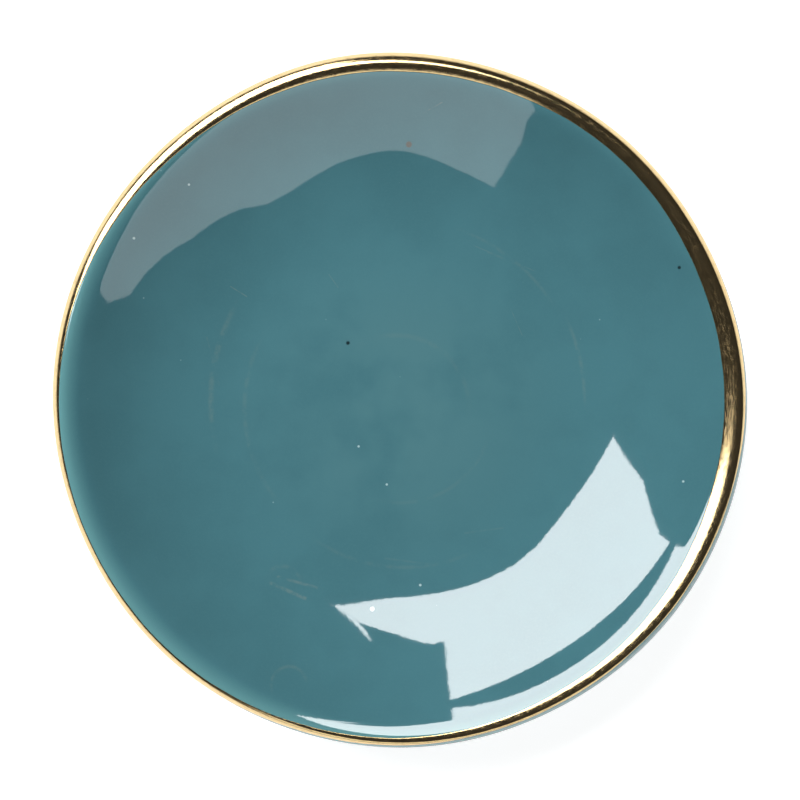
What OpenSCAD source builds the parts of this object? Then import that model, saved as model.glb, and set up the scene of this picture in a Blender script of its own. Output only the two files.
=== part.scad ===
// Ring dish: a shallow round stoneware dish with a flat well, a full round lip, glaze inside
// and outside, a bare clay foot ring and a band of metal lustre brushed on the lip.
// Millimetres, +Z up. The origin is the middle of the plane that the foot rests on.

/* [Dish] */
// Outside diameter, across the glazed lip
dish_d = 90; // [80:1:120]
// Height from the table to the crown of the lip
dish_h = 15; // [13:0.5:22]
// Thickness of the finished wall, which is also the diameter of the round lip
wall_t = 3.2; // [2.6:0.1:4]
// Diameter of the flat middle of the well
well_d = 36; // [20:1:44]
// Thickness of the finished floor, from the well down to the recess under it
floor_t = 3.7; // [3:0.1:5]
// Width of the slight outward flare above the wall
flare_w = 1.3; // [0.8:0.1:4]
// How many degrees flatter the wall is at the outer end of the flare
flare_turn = 2; // [1:0.5:6]
// Width of the shoulder that eases the flare into the round lip
shoulder_w = 1.6; // [1:0.1:3]
// How many degrees the shoulder turns
shoulder_turn = 12; // [4:1:14]

/* [Foot] */
// Outside diameter of the foot ring, over its glaze
foot_d = 50.6; // [42:0.2:58]
// Width of the foot ring from its outer glaze to its inner glaze
foot_w = 3; // [2.4:0.1:4.5]
// Depth of the recess inside the foot ring
foot_h = 2.4; // [2.2:0.1:3.4]
// Radius of the fillet between the foot ring and the wall
foot_fillet = 1.5; // [0.8:0.1:2.5]
// Radius of the fillet round the recess
recess_fillet = 0.9; // [0.4:0.1:0.9]
// Height of bare clay between the table and the edge of the glaze
bare_h = 0.9; // [0.6:0.1:1]
// Rounding of the edges that the foot rests on
foot_round = 0.5; // [0.2:0.1:0.6]

/* [Glaze] */
// Thickness of the glaze in the well, where it pools
glaze_well_t = 0.45; // [0.2:0.05:0.7]
// Thickness of the glaze on the lip, where it runs thin
glaze_lip_t = 0.16; // [0.1:0.02:0.3]
// Thickness of the glaze on the outside and under the dish
glaze_side_t = 0.3; // [0.2:0.05:0.5]

/* [Gold band] */
// Thickness of the lustre band
band_t = 0.1; // [0.05:0.01:0.2]
// Average distance from the outside of the dish in to the band's inner edge, seen from above
band_w = 1.95; // [1.3:0.05:3.5]
// Distance of the middle of the band's inner edge from the axis of the dish
band_shift = 1.1; // [0:0.05:1.2]
// Direction of that shift, anticlockwise from +X
band_shift_angle = 200; // [0:5:355]
// Average distance from the crown of the lip down to the band's outer edge
band_drop = 1.5; // [1.5:0.05:2]
// How much further it comes down on one side, and less far on the opposite side
band_drop_swing = 1.4; // [0:0.05:1.4]
// Direction of the side where the band comes down furthest
band_drop_angle = 130; // [0:5:355]

/* [Hidden] */

CLAY = [0.87, 0.81, 0.72];
TEAL = [0.26, 0.46, 0.5];
TEAL_OUTSIDE = [0.3, 0.5, 0.53];
GOLD = [0.83, 0.67, 0.36];

// Most degrees that a curve of the outline turns from one of its points to the next
arc_step = 2;
lip_step = 9;
fillet_step = 15;
rolled_edge_step = 30;
// Sides of the turned solids in the preview
$fn = 180;
// Steeper than any wall that the sizes allow
steepest = 80;
// Halvings of the search for the wall's slope, which bring it under a millionth of a degree
search_steps = 28;
// Room by which a cutting solid passes the solid that it cuts
pass_by = 5;

well_r = well_d / 2;
well_z = foot_h + floor_t;
lip_r = wall_t / 2;
// The circle that the middle of the round lip follows
lip_x = dish_d / 2 - lip_r;
lip_z = dish_h - lip_r;
foot_x = foot_d / 2;
recess_x = foot_x - foot_w;

// The direction of +Z turned anticlockwise, seen with +X to the right
function normal(turn) = [-sin(turn), cos(turn)];

// The inside is one arc from the well's edge up to the flare, and the flare, the shoulder and
// the round lip are arcs that curve the other way, each tighter than the one before. These
// give their radii and their rise for a slope at the upper end of the first arc.
function after_flare(slope) = slope - flare_turn;
function after_shoulder(slope) = slope - flare_turn - shoulder_turn;
function flare_x(slope) = lip_x - lip_r * sin(after_shoulder(slope)) - shoulder_w - flare_w;
function bowl_radius(slope) = (flare_x(slope) - well_r) / sin(slope);
function flare_radius(slope) = flare_w / (sin(slope) - sin(after_flare(slope)));
function shoulder_radius(slope) =
    shoulder_w / (sin(after_flare(slope)) - sin(after_shoulder(slope)));
function rise(slope) =
    bowl_radius(slope) * (1 - cos(slope))
    + flare_radius(slope) * (cos(after_flare(slope)) - cos(slope))
    + shoulder_radius(slope) * (cos(after_shoulder(slope)) - cos(after_flare(slope)))
    + lip_r * (1 - cos(after_shoulder(slope)));

// The slope whose rise takes the lip's crown to the dish's height, found by halving
function slope_for(height, low, high, steps) =
    let (middle = (low + high) / 2)
    steps == 0 ? middle
    : rise(middle) < height ? slope_for(height, middle, high, steps - 1)
    : slope_for(height, low, middle, steps - 1);

wall_slope = slope_for(dish_h - well_z, flare_turn + shoulder_turn, steepest, search_steps);
flare_slope = after_flare(wall_slope);
lip_slope = after_shoulder(wall_slope);
bowl_r = bowl_radius(wall_slope);
flare_r = flare_radius(wall_slope);
shoulder_r = shoulder_radius(wall_slope);
bowl_centre = [well_r, well_z + bowl_r];
shoulder_centre = [lip_x, lip_z] - (shoulder_r - lip_r) * normal(lip_slope);
flare_centre = shoulder_centre - (flare_r - shoulder_r) * normal(flare_slope);

// The fillet touches the outside of the wall and the outer side of the foot ring.
fillet_x = foot_x + foot_fillet;
fillet_slope = asin((fillet_x - well_r) / (bowl_r + wall_t + foot_fillet));
fillet_z = bowl_centre[1] - (bowl_r + wall_t + foot_fillet) * cos(fillet_slope);

// A path is a list of stations [x, z, turn, glaze]: a point of the finished surface, how far
// its normal is turned anticlockwise from +Z, and the thickness of the glaze there.
function station(point, turn, glaze) = [point[0], point[1], turn, glaze];
function surface_of(path) = [for (s = path) [s[0], s[1]]];
function under(path) = [for (s = path) [s[0], s[1]] - s[3] * normal(s[2])];
function over(path, coat) = [for (s = path) [s[0], s[1]] + coat * normal(s[2])];
function reversed(list) = [for (i = [len(list) - 1 : -1 : 0]) list[i]];
// Paths end to end, where each one starts at the station that ended the one before
function joined(paths) = [
    for (i = [0 : len(paths) - 1]) for (j = [min(i, 1) : len(paths[i]) - 1]) paths[i][j]
];
function mix(a, b, share) = a + (b - a) * min(1, max(0, share));

// Even steps from one angle to the next, both ends included
function sweep(from, to, step) =
    let (count = ceil(abs(to - from) / step))
    [for (i = [0 : count]) from + (to - from) * i / count];

function inside_glaze(x) = mix(glaze_well_t, glaze_lip_t, (x - well_r) / (lip_x - well_r));
function outside_glaze(x) = mix(glaze_lip_t, glaze_side_t, (lip_x - x) / (lip_x - foot_x) * 2);

well_path = [station([0, well_z], 0, glaze_well_t), station([well_r, well_z], 0, glaze_well_t)];
bowl_path = [
    for (a = sweep(0, wall_slope, arc_step))
        let (p = bowl_centre - bowl_r * normal(a))
        station(p, a, inside_glaze(p[0]))
];
// The stretches that curve outward: the inside at the full radius, and the outside parallel to it
function inner_turn(centre, radius, from, to) = [
    for (a = sweep(from, to, arc_step))
        let (p = centre + radius * normal(a))
        station(p, a, inside_glaze(p[0]))
];
function outer_turn(centre, radius, from, to) = [
    for (a = sweep(from, to, arc_step))
        let (p = centre + (radius - wall_t) * normal(a))
        station(p, a - 180, outside_glaze(p[0]))
];
flare_path = inner_turn(flare_centre, flare_r, wall_slope, flare_slope);
shoulder_path = inner_turn(shoulder_centre, shoulder_r, flare_slope, lip_slope);
shoulder_outer_path = outer_turn(shoulder_centre, shoulder_r, lip_slope, flare_slope);
flare_outer_path = outer_turn(flare_centre, flare_r, flare_slope, wall_slope);
// The round lip: up to its crown, over to its outermost line, and on round to the outside
function lip_path(from, to) = [
    for (a = sweep(from, to, lip_step))
        station([lip_x, lip_z] + lip_r * normal(a), a, glaze_lip_t)
];
lip_inner_path = lip_path(lip_slope, 0);
lip_crown_path = lip_path(0, -90);
lip_outer_path = lip_path(-90, lip_slope - 180);
bowl_outer_path = [
    for (a = sweep(wall_slope, fillet_slope, arc_step))
        let (p = bowl_centre - (bowl_r + wall_t) * normal(a))
        station(p, a - 180, outside_glaze(p[0]))
];
fillet_path = [
    for (a = sweep(fillet_slope, 90, fillet_step))
        station([fillet_x, fillet_z] + foot_fillet * normal(a), a - 180, glaze_side_t)
];
recess_path = [
    station([0, foot_h], 180, glaze_side_t),
    for (a = sweep(180, 90, fillet_step))
        let (p = [recess_x, foot_h] - recess_fillet * ([1, 1] + normal(a)))
        station(p, a, glaze_side_t)
];

inside_path = joined([
    well_path, bowl_path, flare_path, shoulder_path, lip_inner_path, lip_crown_path
]);
outside_path = joined([
    lip_outer_path, shoulder_outer_path, flare_outer_path, bowl_outer_path, fillet_path
]);

// The rolled edge of a coat of glaze that ends on a side of the foot ring. Facing is 1 on the
// outer side and -1 on the recess's side.
function rolled_edge(x, facing) = [
    for (a = sweep(0, 90, rolled_edge_step))
        [x - facing * glaze_side_t * (1 - cos(a)), bare_h + glaze_side_t * (1 - sin(a))]
];

// The rounded edge of the bare foot, from its outer side down to the flat that it rests on
function foot_edge(x, facing) = [
    for (a = sweep(0, 90, fillet_step))
        [x - facing * foot_round * (1 - cos(a)), foot_round * (1 - sin(a))]
];

bare_outer_x = foot_x - glaze_side_t;
bare_inner_x = recess_x + glaze_side_t;

// The fired clay, with the foot ring's resting face as its only bare part
module clay_body() {
    color(CLAY)
        rotate_extrude()
            polygon(concat(
                under(joined([inside_path, outside_path])),
                [[bare_outer_x, bare_h]],
                foot_edge(bare_outer_x, 1),
                reversed(foot_edge(bare_inner_x, -1)),
                [[bare_inner_x, bare_h]],
                reversed(under(recess_path))
            ));
}

// The coat in the well and up the wall, rolling over the lip to its outermost line
module glaze_inside() {
    color(TEAL)
        rotate_extrude()
            polygon(concat(surface_of(inside_path), reversed(under(inside_path))));
}

// The coat from the lip's outermost line down to the foot ring
module glaze_outside() {
    color(TEAL_OUTSIDE)
        rotate_extrude()
            polygon(concat(
                surface_of(outside_path),
                rolled_edge(foot_x, 1),
                reversed(under(outside_path))
            ));
}

// The separate patch of glaze in the recess, which the bare foot ring cuts off
module glaze_base() {
    color(TEAL_OUTSIDE)
        rotate_extrude()
            polygon(concat(
                surface_of(recess_path),
                rolled_edge(recess_x, -1),
                reversed(under(recess_path))
            ));
}

// A thin coat on a path, turned all the way round, before the band's edge is cut
module lustre_sleeve(path) {
    rotate_extrude()
        polygon(concat(over(path, band_t), reversed(surface_of(path))));
}

// All that is inside the band's inner edge, which is a circle set off the axis
module inside_the_band() {
    rotate([0, 0, band_shift_angle])
        translate([band_shift, 0, 0])
            cylinder(r = dish_d / 2 - band_w, h = dish_h + pass_by);
}

// All that is below the band's lower edge, which is a tilted plane round the outside of the lip
module below_the_band() {
    tilt = asin(band_drop_swing / (dish_d / 2));
    rotate([0, 0, band_drop_angle])
        translate([0, 0, dish_h - band_drop])
            rotate([0, tilt, 0])
                translate([0, 0, -dish_h])
                    cylinder(r = dish_d / 2 + pass_by, h = dish_h);
}

// The painted metal lustre, in one skin from the inside over the crown to the outside
module gold_rim() {
    color(GOLD) {
        difference() {
            lustre_sleeve(joined([flare_path, shoulder_path, lip_inner_path]));
            inside_the_band();
        }
        difference() {
            lustre_sleeve(joined([lip_crown_path, lip_outer_path, shoulder_outer_path]));
            below_the_band();
        }
    }
}

clay_body();
glaze_inside();
glaze_outside();
glaze_base();
gold_rim();
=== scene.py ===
import math

import bpy
import numpy as np
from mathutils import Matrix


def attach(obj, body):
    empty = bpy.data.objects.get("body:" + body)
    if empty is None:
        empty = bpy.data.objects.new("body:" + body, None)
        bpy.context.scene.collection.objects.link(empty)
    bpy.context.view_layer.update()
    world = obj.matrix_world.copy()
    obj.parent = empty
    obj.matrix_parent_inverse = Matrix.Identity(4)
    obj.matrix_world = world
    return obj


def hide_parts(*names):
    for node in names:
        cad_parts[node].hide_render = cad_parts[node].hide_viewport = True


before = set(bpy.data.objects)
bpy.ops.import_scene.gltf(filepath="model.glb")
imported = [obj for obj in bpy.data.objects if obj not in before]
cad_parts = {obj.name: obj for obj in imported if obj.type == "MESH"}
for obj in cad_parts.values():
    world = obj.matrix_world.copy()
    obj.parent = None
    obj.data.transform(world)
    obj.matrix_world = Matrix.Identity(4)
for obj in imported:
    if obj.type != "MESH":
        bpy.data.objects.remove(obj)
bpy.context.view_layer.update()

# Looks of a glazed ring dish with a brushed gold band. Lengths are in millimetres, as in the
# CAD source, until a mesh, lamp or camera is made. Angles are in degrees, anticlockwise from +X.
MM = 0.001

# The turned outline, with the sizes of the CAD part
dish_r = 45.0
dish_h = 15.0
wall_t = 3.2
well_r = 18.0
floor_t = 3.7
flare_w = 1.3
flare_turn = 2.0
shoulder_w = 1.6
shoulder_turn = 12.0
foot_x = 25.3
foot_w = 3.0
foot_h = 2.4
foot_fillet = 1.5
recess_fillet = 0.9
bare_h = 0.9
foot_round = 0.5
glaze_well_t = 0.45
glaze_lip_t = 0.16
glaze_side_t = 0.3

well_z = foot_h + floor_t
lip_r = wall_t / 2
lip_centre = np.array([dish_r - lip_r, dish_h - lip_r])
crown_r = lip_centre[0]
recess_x = foot_x - foot_w

# How finely the pieces are cut
shell_sides = 540
clay_sides = 270
rim_step = 0.12
wall_step = 0.45
flat_step = 0.75
side_step = 0.3
foot_fillet_step = 0.2
recess_fillet_step = 0.15
coat_edge_points = 7
foot_edge_points = 9
solving_rounds = 40


def sin(angle):
    return np.sin(np.radians(angle))


def cos(angle):
    return np.cos(np.radians(angle))


def normal(turn):
    """The direction of +Z in the outline's plane, turned anticlockwise."""
    return np.stack([-sin(turn), cos(turn)], axis=-1)


def smooth(value):
    """0 below 0, 1 above 1, and an even ease between."""
    share = np.clip(value, 0, 1)
    return share * share * (3 - 2 * share)


def waves(theta, parts):
    """A ripple round the dish: parts holds (count, height, angle of a crest)."""
    return sum(height * cos(count * (theta - angle)) for count, height, angle in parts)


def outline_for(slope):
    """Radii of the wall's three arcs and the rise from well to crown, for a slope of the wall."""
    flare_slope = slope - flare_turn
    lip_slope = flare_slope - shoulder_turn
    flare_x = crown_r - lip_r * sin(lip_slope) - shoulder_w - flare_w
    bowl = (flare_x - well_r) / sin(slope)
    flare = flare_w / (sin(slope) - sin(flare_slope))
    shoulder = shoulder_w / (sin(flare_slope) - sin(lip_slope))
    rise = (
        bowl * (1 - cos(slope))
        + flare * (cos(flare_slope) - cos(slope))
        + shoulder * (cos(lip_slope) - cos(flare_slope))
        + lip_r * (1 - cos(lip_slope))
    )
    return bowl, flare, shoulder, rise


def solve_slope():
    """The slope of the wall that takes the lip to the dish's height, found by halving."""
    low, high = flare_turn + shoulder_turn, 80.0
    for _ in range(solving_rounds):
        middle = (low + high) / 2
        if outline_for(middle)[3] < dish_h - well_z:
            low = middle
        else:
            high = middle
    return low


wall_slope = solve_slope()
flare_slope = wall_slope - flare_turn
lip_slope = flare_slope - shoulder_turn
bowl_r, flare_r, shoulder_r, _ = outline_for(wall_slope)
bowl_centre = np.array([well_r, well_z + bowl_r])
shoulder_centre = lip_centre - (shoulder_r - lip_r) * normal(lip_slope)
flare_centre = shoulder_centre - (flare_r - shoulder_r) * normal(flare_slope)


def line(start, end, turn, step):
    """Stations [x, z, turn] along a straight stretch of the outline."""
    start, end = np.array(start, float), np.array(end, float)
    count = max(1, math.ceil(np.linalg.norm(end - start) / step))
    share = np.linspace(0, 1, count + 1)[:, None]
    points = start + (end - start) * share
    return np.column_stack([points, np.full(count + 1, float(turn))])


def arc(centre, radius, start, end, step, back=0):
    """Stations along a round stretch. Back is 180 on the far side of the wall."""
    count = max(1, math.ceil(math.radians(abs(end - start)) * abs(radius) / step))
    turns = np.linspace(start, end, count + 1)
    return np.column_stack([np.array(centre) + radius * normal(turns), turns - back])


def joined(*paths):
    """Paths end to end, where each one starts at the station that ended the one before."""
    return np.vstack([paths[0]] + [path[1:] for path in paths[1:]])


fillet_x = foot_x + foot_fillet
fillet_slope = math.degrees(math.asin((fillet_x - well_r) / (bowl_r + wall_t + foot_fillet)))
fillet_z = bowl_centre[1] - (bowl_r + wall_t + foot_fillet) * cos(fillet_slope)
coat_foot_z = bare_h + glaze_side_t

well_path = line([0, well_z], [well_r, well_z], 0, flat_step)
bowl_path = arc(bowl_centre, -bowl_r, 0, wall_slope, wall_step)
flare_path = arc(flare_centre, flare_r, wall_slope, flare_slope, rim_step)
shoulder_path = arc(shoulder_centre, shoulder_r, flare_slope, lip_slope, rim_step)
lip_inner_path = arc(lip_centre, lip_r, lip_slope, 0, rim_step)
lip_crown_path = arc(lip_centre, lip_r, 0, -90, rim_step)
lip_outer_path = arc(lip_centre, lip_r, -90, lip_slope - 180, rim_step)
shoulder_back = arc(shoulder_centre, shoulder_r - wall_t, lip_slope, flare_slope, rim_step, 180)
flare_back = arc(flare_centre, flare_r - wall_t, flare_slope, wall_slope, rim_step, 180)
bowl_back = arc(bowl_centre, -(bowl_r + wall_t), wall_slope, fillet_slope, wall_step, 180)
fillet_path = arc([fillet_x, fillet_z], foot_fillet, fillet_slope, 90, foot_fillet_step, 180)
foot_side = line([foot_x, fillet_z], [foot_x, coat_foot_z], -90, side_step)

recess_corner = [recess_x - recess_fillet, foot_h - recess_fillet]
recess_roof = line([0, foot_h], [recess_corner[0], foot_h], 180, flat_step)
recess_round = arc(recess_corner, -recess_fillet, 180, 90, recess_fillet_step)
recess_side = line([recess_x, recess_corner[1]], [recess_x, coat_foot_z], 90, side_step)

inside_path = joined(well_path, bowl_path, flare_path, shoulder_path, lip_inner_path, lip_crown_path)
outside_path = joined(lip_outer_path, shoulder_back, flare_back, bowl_back, fillet_path, foot_side)
recess_path = joined(recess_roof, recess_round, recess_side)

# How thick the glaze is at each station, thinner towards the lip
inside_coat = np.interp(inside_path[:, 0], [well_r, crown_r], [glaze_well_t, glaze_lip_t])
half_way_x = (crown_r + foot_x) / 2
outside_coat = np.interp(outside_path[:, 0], [half_way_x, crown_r], [glaze_side_t, glaze_lip_t])
recess_coat = np.full(len(recess_path), glaze_side_t)


def under(path, coat):
    """The points that lie under a path by the thickness of the coat."""
    return path[:, :2] - coat[:, None] * normal(path[:, 2])


def quarter_round(x, z, radius, facing, count):
    """A round edge from a side at x down to the level z. Facing is 1 outward and -1 inward."""
    turns = np.linspace(0, 90, count)
    return np.column_stack([x - facing * radius * (1 - cos(turns)), z + radius * (1 - sin(turns))])


def coat_edge(x, facing):
    """The rolled edge of a coat that ends on a side of the foot ring."""
    return quarter_round(x, bare_h, glaze_side_t, facing, coat_edge_points)


def foot_edge(x, facing):
    """The round edge of the bare foot, down to the flat that it rests on."""
    return quarter_round(x, 0, foot_round, facing, foot_edge_points)


# What the potter's hand did to the turned form. Every piece gets it alike, so they stay nested.
rim_ripple = [
    (1, 0.13, -160), (2, 0.14, -50), (3, 0.07, -10), (4, 0.09, -5),
    (5, 0.03, 30), (6, 0.04, -15), (7, 0.03, 5), (8, 0.04, 5),
]
ripple_start_r = 27.0
ripple_full_r = 43.0
crown_shift_mean = 0.3
crown_shift_swing = [(1, 0.3, 300)]
crown_shift_start_r = 41.6
# The crown's shift starts this far under the lip's centre, and is full this much higher
crown_shift_drop = 0.2
crown_shift_rise = 1.2
# The swells are nothing at the first height and full at the second, so the foot stays flat
relief_start_z = 3.0
relief_full_z = 6.0
# Low swells of the wall: (distance from the axis, angle, height, spread)
swells = [
    (28.5, 92, 0.10, 4.0),
    (29.0, 128, -0.06, 3.5),
    (31.0, 150, 0.07, 4.5),
    (30.0, 205, -0.05, 5.0),
    (27.0, 250, 0.05, 4.0),
    (29.0, 290, -0.05, 4.0),
    (30.0, 322, 0.05, 3.5),
    (31.0, 5, 0.06, 5.0),
    (29.0, 45, -0.06, 4.5),
    (12.0, 200, 0.02, 7.0),
    (9.0, 40, -0.02, 6.0),
]


def crown_shift(theta, radius):
    """How far a point near the lip's crown is drawn outward."""
    amount = crown_shift_mean + waves(theta, crown_shift_swing)
    rising = smooth((radius - crown_shift_start_r) / (crown_r - crown_shift_start_r))
    falling = 1 - smooth((radius - crown_r) / (dish_r - crown_r))
    return amount * np.where(radius < crown_r, rising, falling)


def handmade(points):
    """Points of the turned form, moved to where they are on the thrown dish."""
    x, y, z = points.T
    radius = np.hypot(x, y)
    theta = np.degrees(np.arctan2(y, x))
    outward = smooth((radius - ripple_start_r) / (ripple_full_r - ripple_start_r))
    upper = smooth((z - lip_centre[1] + crown_shift_drop) / crown_shift_rise)
    reach = radius + outward * waves(theta, rim_ripple) + upper * crown_shift(theta, radius)
    height = z.copy()
    above = smooth((z - relief_start_z) / (relief_full_z - relief_start_z))
    for distance, angle, swell, spread in swells:
        gap = (x - distance * cos(angle)) ** 2 + (y - distance * sin(angle)) ** 2
        height += above * swell * np.exp(-gap / (2 * spread * spread))
    return np.column_stack([reach * cos(theta), reach * sin(theta), height])


def make_piece(name, shape, material, node):
    """A handmade mesh in metres that rides on the dish's one body and stands for its CAD node."""
    points, faces = shape
    mesh = bpy.data.meshes.new(name)
    mesh.from_pydata((handmade(points) * MM).tolist(), [], faces)
    mesh.validate()
    mesh.shade_smooth()
    mesh.materials.append(material)
    piece = bpy.data.objects.new(name, mesh)
    bpy.context.scene.collection.objects.link(piece)
    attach(piece, "root")
    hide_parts(node)


def turned(outline, sides):
    """Points and faces of a closed outline [x, z] turned round the axis. It runs clockwise."""
    points, rings, faces = [], [], []
    theta = np.arange(sides) * 360 / sides
    total = 0
    for x, z in outline:
        if x < 1e-6:
            points.append([[0, 0, z]])
            rings.append([total] * sides)
            total += 1
        else:
            points.append(np.column_stack([x * cos(theta), x * sin(theta), np.full(sides, z)]))
            rings.append(list(range(total, total + sides)))
            total += sides
    for ring, following in zip(rings, rings[1:] + rings[:1]):
        for i in range(sides):
            j = (i + 1) % sides
            corners = [ring[i], following[i], following[j], ring[j]]
            face = list(dict.fromkeys(corners))
            if len(face) > 2:
                faces.append(face)
    return np.vstack(points), faces


def coat_outline(path, coat, edge=None):
    """A coat's closed outline: its surface, its rolled edge if it has one, and its underside."""
    stretches = [path[:, :2]]
    if edge is not None:
        stretches.append(edge[1:])
    stretches.append(under(path, coat)[::-1])
    return np.vstack(stretches)


def clay_outline():
    """The clay's closed outline: under the three coats, and bare round the foot."""
    outer_x = foot_x - glaze_side_t
    inner_x = recess_x + glaze_side_t
    return np.vstack([
        under(inside_path, inside_coat),
        under(outside_path, outside_coat)[1:],
        [[outer_x, bare_h]],
        foot_edge(outer_x, 1),
        foot_edge(inner_x, -1)[::-1],
        [[inner_x, bare_h]],
        under(recess_path, recess_coat)[::-1],
    ])


# The gold band, measured along the outline from the crown of the lip, outward positive
band_t = 0.035
band_sink = 0.02
band_edge = 0.12
band_edge_dip = 0.004
band_points = 44
band_wall_stations = 12
band_width = 1.95
band_width_waves = [(1, 1.05, 28), (2, 0.23, -45), (3, 0.18, -10), (4, 0.05, 0)]
band_inner_brush = [(9, 0.018, 20), (17, 0.014, 3), (31, 0.010, 8), (53, 0.008, 1)]
band_drop = 1.5
band_drop_waves = [(1, 1.42, 130), (5, 0.05, 12)]
band_outer_brush = [(11, 0.03, 4), (23, 0.02, 9), (47, 0.012, 2)]


def band_path():
    """The outline from the wall over the lip, with each station's distance from the crown."""
    path = joined(
        bowl_path[-band_wall_stations:], flare_path, shoulder_path, lip_inner_path,
        lip_crown_path, lip_outer_path, shoulder_back,
    )
    run = np.concatenate([[0], np.cumsum(np.hypot(*np.diff(path[:, :2], axis=0).T))])
    crown = np.argmin(np.abs(path[:, 2]))
    return path, run - run[crown]


def band_ends(theta, path, run):
    """Where the band starts inside and ends outside at each angle, along the outline."""
    width = band_width + waves(theta, band_width_waves + band_inner_brush)
    seen_r = dish_r - width
    radius = seen_r.copy()
    for _ in range(solving_rounds):
        radius = (radius + seen_r - crown_shift(theta, radius)) / 2
    upper = path[:, 2] >= -90
    start = np.interp(radius, path[upper, 0], run[upper])
    drop = band_drop + waves(theta, band_drop_waves + band_outer_brush)
    fall = np.arccos(np.clip(1 - drop / lip_r, -1, 1))
    return start, fall * lip_r


def gold_band():
    """Points and faces of the band: a thin closed skin whose edges feather into the glaze."""
    path, run = band_path()
    theta = np.arange(shell_sides) * 360 / shell_sides
    start, end = band_ends(theta, path, run)
    share = np.linspace(0, 1, band_points + 1)
    along = start[:, None] + (end - start)[:, None] * share
    from_edge = np.minimum(along - start[:, None], end[:, None] - along)
    lift = band_t * np.sqrt(1 - (1 - np.clip(from_edge / band_edge, 0, 1)) ** 2)
    x = np.interp(along, run, path[:, 0])
    z = np.interp(along, run, path[:, 1])
    outward = normal(np.interp(along, run, path[:, 2]))

    def layer(height):
        reach = x + height * outward[..., 0]
        ring = theta[:, None]
        return np.stack([reach * cos(ring), reach * sin(ring), z + height * outward[..., 1]], -1)

    top = layer(lift - band_edge_dip)
    bottom = layer(np.full_like(lift, -band_sink))
    loops = np.concatenate([top, bottom[:, -2:0:-1]], axis=1)
    across = loops.shape[1]
    faces = []
    for i in range(shell_sides):
        here, there = i * across, (i + 1) % shell_sides * across
        for j in range(across):
            k = (j + 1) % across
            faces.append([here + j, here + k, there + k, there + j])
    return loops.reshape(-1, 3), faces


class Look:
    """A material whose nodes are made by short calls. Colours have four parts, the last one 1."""

    def __init__(self, name):
        self.material = bpy.data.materials.new(name)
        self.material.use_nodes = True
        self.tree = self.material.node_tree
        self.tree.nodes.clear()

    def node(self, kind, inputs=None, **settings):
        made = self.tree.nodes.new(kind)
        for name, value in settings.items():
            setattr(made, name, value)
        for name, value in (inputs or {}).items():
            if isinstance(value, bpy.types.NodeSocket):
                self.tree.links.new(value, made.inputs[name])
            else:
                made.inputs[name].default_value = value
        return made

    def math(self, operation, first, second=0.0, clamp=False):
        inputs = {0: first, 1: second}
        return self.node("ShaderNodeMath", inputs, operation=operation, use_clamp=clamp).outputs[0]

    def times(self, first, second):
        return self.math("MULTIPLY", first, second)

    def vector(self, operation, first, second=(0, 0, 0), output=0, **more):
        inputs = {0: first, 1: second, **more}
        return self.node("ShaderNodeVectorMath", inputs, operation=operation).outputs[output]

    def ease(self, value, low, high, floor=0.0, ceiling=1.0):
        inputs = {"Value": value, "From Min": low, "From Max": high, "To Min": floor, "To Max": ceiling}
        made = self.node("ShaderNodeMapRange", inputs, interpolation_type="SMOOTHSTEP")
        return made.outputs["Result"]

    def noise(self, where, scale, detail=2.0, roughness=0.5):
        inputs = {"Vector": where, "Scale": scale, "Detail": detail, "Roughness": roughness}
        return self.node("ShaderNodeTexNoise", inputs).outputs["Fac"]

    def mix(self, share, first, second):
        """Two colours mixed. The node's sockets 6 and 7 take them, and its output 2 is the colour."""
        return self.node("ShaderNodeMix", {0: share, 6: first, 7: second}, data_type="RGBA").outputs[2]

    def bump(self, height, strength, distance, onto=None):
        inputs = {"Height": height, "Strength": strength, "Distance": distance}
        if onto is not None:
            inputs["Normal"] = onto
        return self.node("ShaderNodeBump", inputs).outputs["Normal"]

    def place(self):
        """The point in millimetres, the same point at height 0, and its distance from the axis."""
        point = self.node("ShaderNodeTexCoord").outputs["Object"]
        point = self.vector("SCALE", point, Scale=1 / MM)
        flat = self.vector("MULTIPLY", point, (1, 1, 0))
        return point, flat, self.vector("LENGTH", flat, output=1)

    def parts(self, vector):
        """The X, Y and Z of a vector."""
        return self.node("ShaderNodeSeparateXYZ", {0: vector}).outputs

    def surface(self, shader):
        """The finished material, with this shader as its surface."""
        self.node("ShaderNodeOutputMaterial", {"Surface": shader.outputs[0]})
        return self.material

    def finish(self, **inputs):
        """The finished material, whose surface has these sockets set or linked."""
        named = {name.replace("_", " "): value for name, value in inputs.items()}
        return self.surface(self.node("ShaderNodeBsdfPrincipled", named))


TEAL = (0.055, 0.165, 0.195, 1)
TEAL_DEEP = (0.050, 0.152, 0.180, 1)
TEAL_POOL = (0.068, 0.180, 0.205, 1)
TEAL_THIN = (0.105, 0.265, 0.280, 1)
TEAL_OUTSIDE = (0.115, 0.235, 0.240, 1)
SCUFF = (0.150, 0.215, 0.205, 1)
SPECK_DARK = (0.010, 0.030, 0.035, 1)
SPECK_BROWN = (0.095, 0.090, 0.075, 1)
SPECK_PALE = (0.42, 0.55, 0.56, 1)
SPECK_WHITE = (0.85, 0.90, 0.90, 1)
GOLD = (0.60, 0.455, 0.235, 1)
GOLD_WORN = (0.40, 0.27, 0.12, 1)
CLAY = (0.62, 0.50, 0.37, 1)
CLAY_PALE = (0.70, 0.59, 0.45, 1)
CLAY_SPECK = (0.30, 0.20, 0.13, 1)
PAPER = (0.75, 0.75, 0.75, 1)

glaze_ior = 1.75
inside_roughness = 0.035
worn_roughness = 0.25
outside_roughness = 0.06
clay_roughness = 0.85
paper_glow = 0.75

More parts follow.
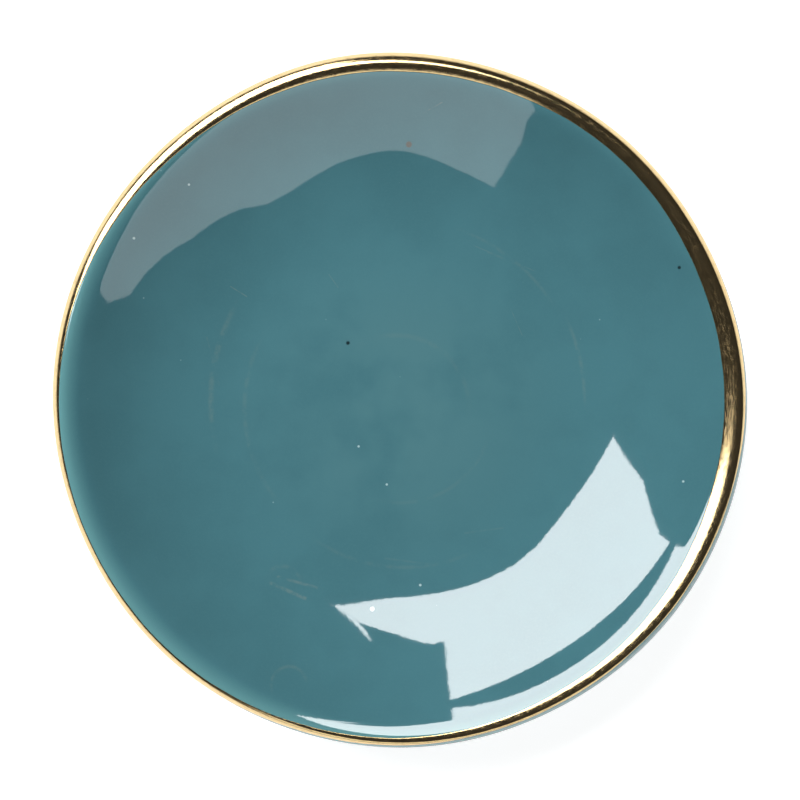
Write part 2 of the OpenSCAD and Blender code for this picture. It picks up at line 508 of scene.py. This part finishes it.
# Marks that the glaze carries, in millimetres from the axis
# Specks: x, y, radius, colour
specks = [
    (-6.9, 7.5, 0.28, SPECK_DARK),
    (36.2, 17.2, 0.24, SPECK_DARK),
    (1.1, 33.4, 0.42, SPECK_BROWN),
    (-5.5, -6.1, 0.16, SPECK_PALE),
    (-1.8, -11.1, 0.16, SPECK_PALE),
    (2.6, -24.3, 0.18, SPECK_PALE),
    (36.8, -10.6, 0.16, SPECK_PALE),
    (-3.7, -27.4, 0.30, SPECK_WHITE),
    (-27.5, 28.0, 0.16, SPECK_PALE),
    (-34.6, 21.0, 0.18, SPECK_PALE),
]
# Scratches: from x, y, to x, y, width, strength
scratches = [
    (-22.3, 14.9, -20.2, 13.6, 0.10, 0.55),
    (-9.4, 16.5, -8.2, 14.8, 0.10, 0.5),
    (3.0, 37.4, 5.4, 38.7, 0.10, 0.7),
    (9.6, 20.3, 17.5, 17.0, 0.10, 0.25),
    (14.5, 12.0, 16.0, 8.5, 0.09, 0.3),
    (-17.0, -24.0, -12.5, -26.0, 0.35, 0.5),
    (-16.0, -23.2, -11.0, -24.6, 0.30, 0.4),
    (-25.4, 8.2, -23.8, 2.0, 0.14, 0.22),
    (11.5, 19.4, 15.2, 17.8, 0.16, 0.2),
    (-2.0, -20.8, 4.0, -21.6, 0.22, 0.14),
    (8.5, -17.5, 13.5, -16.8, 0.20, 0.14),
]
# Worn rings left by what stood in the dish: centre x, y, radius, width, the angle of the arc's
# middle, half of its sweep, strength
rings = [
    (0.0, 0.0, 24.9, 0.55, 172, 26, 0.32),
    (1.5, 0.5, 22.6, 0.40, 12, 16, 0.28),
    (0.0, 0.0, 23.6, 0.35, 52, 22, 0.20),
    (-1.0, -1.0, 19.5, 0.45, 185, 40, 0.18),
    (0.5, -1.5, 20.5, 0.40, 265, 34, 0.18),
    (-0.5, -1.0, 9.5, 0.50, 60, 70, 0.14),
    (0.0, -1.5, 12.0, 0.40, 300, 50, 0.13),
    (-14.5, -37.0, 2.3, 0.35, 100, 120, 0.26),
    (-15.5, -24.2, 2.4, 0.40, 80, 80, 0.20),
]


def speck_mask(look, flat, x, y, radius):
    distance = look.vector("DISTANCE", flat, (x, y, 0), output=1)
    return look.ease(distance, radius * 1.2, radius * 0.6)


def scratch_mask(look, flat, x0, y0, x1, y1, width):
    span = (x1 - x0, y1 - y0, 0)
    length_squared = span[0] ** 2 + span[1] ** 2
    offset = look.vector("SUBTRACT", flat, (x0, y0, 0))
    along = look.vector("DOT_PRODUCT", offset, span, output=1)
    share = look.math("DIVIDE", along, length_squared, clamp=True)
    nearest = look.vector("SCALE", span, Scale=share)
    distance = look.vector("DISTANCE", offset, nearest, output=1)
    return look.ease(distance, width, 0.2 * width)


def ring_mask(look, flat, x, y, radius, width, middle, half_sweep):
    offset = look.vector("SUBTRACT", flat, (x, y, 0))
    distance = look.vector("LENGTH", offset, output=1)
    off_line = look.math("ABSOLUTE", look.math("SUBTRACT", distance, radius))
    on_line = look.ease(off_line, width, 0.1 * width)
    toward = look.vector("DOT_PRODUCT", offset, (cos(middle), sin(middle), 0), output=1)
    facing = look.math("DIVIDE", toward, radius)
    return look.times(on_line, look.ease(facing, cos(half_sweep), cos(0.4 * half_sweep)))


def wear_mask(look, point, flat):
    """How worn the glaze is: rings and scratches, broken up as rubbed marks are."""
    marks = [(ring_mask, mark) for mark in rings] + [(scratch_mask, mark) for mark in scratches]
    wear = 0.0
    for mask, (*shape, strength) in marks:
        wear = look.math("MAXIMUM", wear, look.times(mask(look, flat, *shape), strength))
    broken = look.ease(look.noise(point, 0.55, 4.0, 0.7), 0.36, 0.60)
    return look.times(wear, broken)


def dust_mask(look, point):
    """Tiny pale flecks, in a few of the cells of a random net."""
    cells = look.node("ShaderNodeTexVoronoi", {"Vector": point, "Scale": 0.42}).outputs
    draw = look.node("ShaderNodeSeparateColor", {0: cells["Color"]}).outputs[0]
    tiny = look.ease(cells["Distance"], 0.060, 0.025)
    return look.times(look.times(tiny, look.ease(draw, 0.86, 0.93)), 0.35)


def inside_glaze_look():
    """The teal gloss of the inside, pooled and worn in the well, thin and pale at the lip."""
    look = Look("glaze_inside_look")
    point, flat, radius = look.place()
    mottle = look.noise(point, 0.09, 3.0, 0.55)
    grain = look.noise(point, 3.2, 3.0, 0.6)
    colour = look.mix(look.ease(mottle, 0.35, 0.65), TEAL_DEEP, TEAL)
    pool = look.times(look.ease(radius, 26, 2), look.ease(mottle, 0.3, 0.62))
    colour = look.mix(pool, colour, TEAL_POOL)
    colour = look.mix(look.ease(grain, 0.40, 0.72, 0.0, 0.22), colour, TEAL_POOL)
    colour = look.mix(look.ease(radius, 41.6, 44.4), colour, TEAL_THIN)
    wear = wear_mask(look, point, flat)
    colour = look.mix(wear, colour, SCUFF)
    for x, y, speck_r, speck_colour in specks:
        colour = look.mix(speck_mask(look, flat, x, y, speck_r), colour, speck_colour)
    colour = look.mix(dust_mask(look, point), colour, SPECK_PALE)
    peel = look.bump(look.noise(point, 1.6), 0.0025, MM)
    relief = look.bump(wear, 0.05, 0.1 * MM, peel)
    roughness = look.math("ADD", look.times(wear, worn_roughness), inside_roughness)
    return look.finish(Base_Color=colour, Roughness=roughness, IOR=glaze_ior, Normal=relief)


def outside_glaze_look():
    """The paler, thinner coat outside: mottled, and darker at the fillet over the foot."""
    look = Look("glaze_outside_look")
    point, _, radius = look.place()
    mottle = look.noise(point, 0.16, 4.0, 0.6)
    grain = look.noise(point, 3.0, 3.0, 0.6)
    height = look.parts(point)["Z"]
    colour = look.mix(look.ease(mottle, 0.35, 0.68), TEAL, TEAL_OUTSIDE)
    colour = look.mix(look.ease(height, 4.6, 2.6, 0.0, 0.75), colour, TEAL_DEEP)
    colour = look.mix(look.ease(height, 1.7, 0.95), colour, TEAL_THIN)
    colour = look.mix(look.ease(radius, 43.2, 44.8), colour, TEAL_THIN)
    colour = look.mix(look.ease(grain, 0.42, 0.74, 0.0, 0.25), colour, SCUFF)
    relief = look.bump(look.noise(point, 0.9), 0.05, MM)
    return look.finish(Base_Color=colour, Roughness=outside_roughness, IOR=glaze_ior, Normal=relief)


def gold_look():
    """Brushed lustre: fine streaks run round the lip, and glaze shows through in small flecks."""
    look = Look("gold_lustre_look")
    point, flat, radius = look.place()
    around = look.parts(flat)
    angle = look.math("ARCTAN2", around["Y"], around["X"])
    height = look.parts(point)["Z"]
    along = look.node("ShaderNodeCombineXYZ", {"X": look.times(angle, 9.0), "Y": radius, "Z": height})
    streaks = look.noise(along.outputs[0], 5.0, 4.0, 0.62)
    flecks = look.noise(point, 2.6, 4.0, 0.7)
    colour = look.mix(look.ease(streaks, 0.50, 0.72, 0.0, 0.7), GOLD, GOLD_WORN)
    colour = look.mix(look.ease(flecks, 0.66, 0.74, 0.0, 0.8), colour, TEAL_DEEP)
    roughness = look.ease(streaks, 0.3, 0.75, 0.07, 0.26)
    relief = look.bump(streaks, 0.10, 0.05 * MM)
    return look.finish(Base_Color=colour, Metallic=1.0, Roughness=roughness, Normal=relief)


def clay_look():
    """Bare buff stoneware with iron specks and a fine grit."""
    look = Look("bare_clay_look")
    point, _, _ = look.place()
    grit = look.noise(point, 4.5, 4.0, 0.65)
    cloud = look.noise(point, 0.35, 3.0, 0.5)
    iron = look.noise(point, 2.4)
    colour = look.mix(look.ease(cloud, 0.35, 0.7), CLAY, CLAY_PALE)
    colour = look.mix(look.ease(iron, 0.66, 0.72), colour, CLAY_SPECK)
    relief = look.bump(grit, 0.35, 0.15 * MM)
    return look.finish(Base_Color=colour, Roughness=clay_roughness, Normal=relief)


def inside_glaze_coat():
    shape = turned(coat_outline(inside_path, inside_coat), shell_sides)
    make_piece("inside_glaze_coat", shape, inside_glaze_look(), "glaze_inside")


def outside_glaze_coat(material):
    outline = coat_outline(outside_path, outside_coat, coat_edge(foot_x, 1))
    shape = turned(outline, shell_sides)
    make_piece("outside_glaze_coat", shape, material, "glaze_outside")


def base_glaze_patch(material):
    outline = coat_outline(recess_path, recess_coat, coat_edge(recess_x, -1))
    clockwise = outline[::-1]
    shape = turned(clockwise, clay_sides)
    make_piece("base_glaze_patch", shape, material, "glaze_base")


def clay_foot_and_body():
    shape = turned(clay_outline(), clay_sides)
    make_piece("clay_foot_and_body", shape, clay_look(), "clay_body")


def gold_lustre_band():
    make_piece("gold_lustre_band", gold_band(), gold_look(), "gold_rim")


outside_look = outside_glaze_look()
inside_glaze_coat()
outside_glaze_coat(outside_look)
base_glaze_patch(outside_look)
clay_foot_and_body()
gold_lustre_band()


# The studio. Lamps lie in one plane over the dish, and their outlines are in metres.
lamp_z = 0.8
key_light = 8.0
card_light = 1.45
studio_dark = 0.045

# A big softbox behind and to the left, whose near edge is a draped cloth
softbox = [
    (-0.41, 0.06), (-0.28, 0.15), (-0.22, 0.22), (-0.18, 0.25), (-0.07, 0.27), (0.03, 0.30),
    (0.07, 0.33), (0.13, 0.385), (0.095, 0.47), (0.06, 0.505), (0.015, 0.545), (-0.04, 0.615),
    (-0.08, 0.655), (-0.11, 0.645), (-0.13, 0.73), (-0.30, 1.66), (-1.53, 0.80), (-1.19, 0.61),
    (-0.95, 0.43), (-0.715, 0.235), (-0.50, 0.115),
]
# The loose hem of that cloth
hem = [(0.13, 0.385), (0.12, 0.44), (0.08, 0.62), (0.085, 0.54), (0.10, 0.46)]
# A dim white card in front
card = [
    (2.4, -0.72), (1.16, -0.46), (1.0, -0.51), (0.83, -0.52), (0.66, -0.50), (0.57, -0.535),
    (0.46, -0.54), (0.32, -0.49), (0.25, -0.51), (0.15, -0.60), (0.0, -0.65), (-0.09, -0.61),
    (-0.22, -0.51), (-0.55, -1.16), (-1.1, -2.45), (3.4, -2.45),
]


def glow(name, strength):
    """An even light that only the lower side gives."""
    look = Look(name)
    back = look.node("ShaderNodeNewGeometry").outputs["Backfacing"]
    amount = look.times(look.math("SUBTRACT", 1.0, back), strength)
    return look.surface(look.node("ShaderNodeEmission", {"Strength": amount}))


def lamp(name, outlines, strength):
    """Flat glowing shapes over the dish, which the camera doesn't see."""
    points, faces = [], []
    for outline in outlines:
        area = sum(a[0] * b[1] - b[0] * a[1] for a, b in zip(outline, outline[1:] + outline[:1]))
        ordered = outline if area < 0 else outline[::-1]
        faces.append(list(range(len(points), len(points) + len(ordered))))
        points += [(x, y, lamp_z) for x, y in ordered]
    mesh = bpy.data.meshes.new(name)
    mesh.from_pydata(points, [], faces)
    mesh.materials.append(glow(name + "_glow", strength))
    made = bpy.data.objects.new(name, mesh)
    made.visible_camera = False
    bpy.context.scene.collection.objects.link(made)


def paper_look():
    """White paper that shows as white, and still takes the dish's shadow."""
    look = Look("white_paper")
    path = look.node("ShaderNodeLightPath").outputs
    seen = look.math("MAXIMUM", path["Is Camera Ray"], path["Is Glossy Ray"])
    seen = look.math("MAXIMUM", seen, path["Is Transmission Ray"])
    paper = look.node("ShaderNodeBsdfDiffuse", {"Color": PAPER})
    white = look.node("ShaderNodeEmission", {"Strength": look.times(seen, paper_glow)})
    return look.surface(look.node("ShaderNodeAddShader", {0: paper.outputs[0], 1: white.outputs[0]}))


def paper_sweep():
    """A round sheet of paper that lies flat under the dish and curves up far away, in metres."""
    shaded_flat_r, flat_r, curve_r, sides = 1.2, 2.6, 0.5, 96
    profile = [(shaded_flat_r, 0.0), (flat_r, 0.0)]
    profile += [(flat_r + curve_r * sin(a), curve_r * (1 - cos(a))) for a in range(10, 91, 10)]
    points, faces = [(0.0, 0.0, 0.0)], []
    for r, z in profile:
        points += [(r * cos(360 * i / sides), r * sin(360 * i / sides), z) for i in range(sides)]
    for i in range(sides):
        faces.append([0, 1 + i, 1 + (i + 1) % sides])
    for ring in range(len(profile) - 1):
        low = 1 + ring * sides
        for i in range(sides):
            j = (i + 1) % sides
            faces.append([low + i, low + sides + i, low + sides + j, low + j])
    mesh = bpy.data.meshes.new("paper_sweep")
    mesh.from_pydata(points, [], faces)
    mesh.shade_smooth()
    mesh.materials.append(paper_look())
    made = bpy.data.objects.new("paper_sweep", mesh)
    bpy.context.scene.collection.objects.link(made)


def dark_studio():
    """A nearly dark room round the lamps."""
    world = bpy.data.worlds.new("studio")
    world.use_nodes = True
    room = world.node_tree.nodes["Background"].inputs
    room["Color"].default_value = (1, 1, 1, 1)
    room["Strength"].default_value = studio_dark
    bpy.context.scene.world = world


# The camera looks straight down from 600 mm over the widest line of the lip, where the dish's
# diameter takes up this share of the picture's width.
view_height = 600.0
picture_share = 0.8664
camera_x = -0.06
sensor = 36.0


def overhead_camera():
    data = bpy.data.cameras.new("camera")
    data.sensor_width = sensor
    data.lens = sensor * picture_share * view_height / (2 * dish_r)
    camera = bpy.data.objects.new("camera", data)
    camera.location = (camera_x * MM, 0.0, (lip_centre[1] + view_height) * MM)
    bpy.context.scene.collection.objects.link(camera)
    bpy.context.scene.camera = camera


lamp("softbox", [softbox, hem], key_light)
lamp("white_card", [card], card_light)
paper_sweep()
dark_studio()
overhead_camera()
bpy.context.scene.view_settings.view_transform = "Standard"
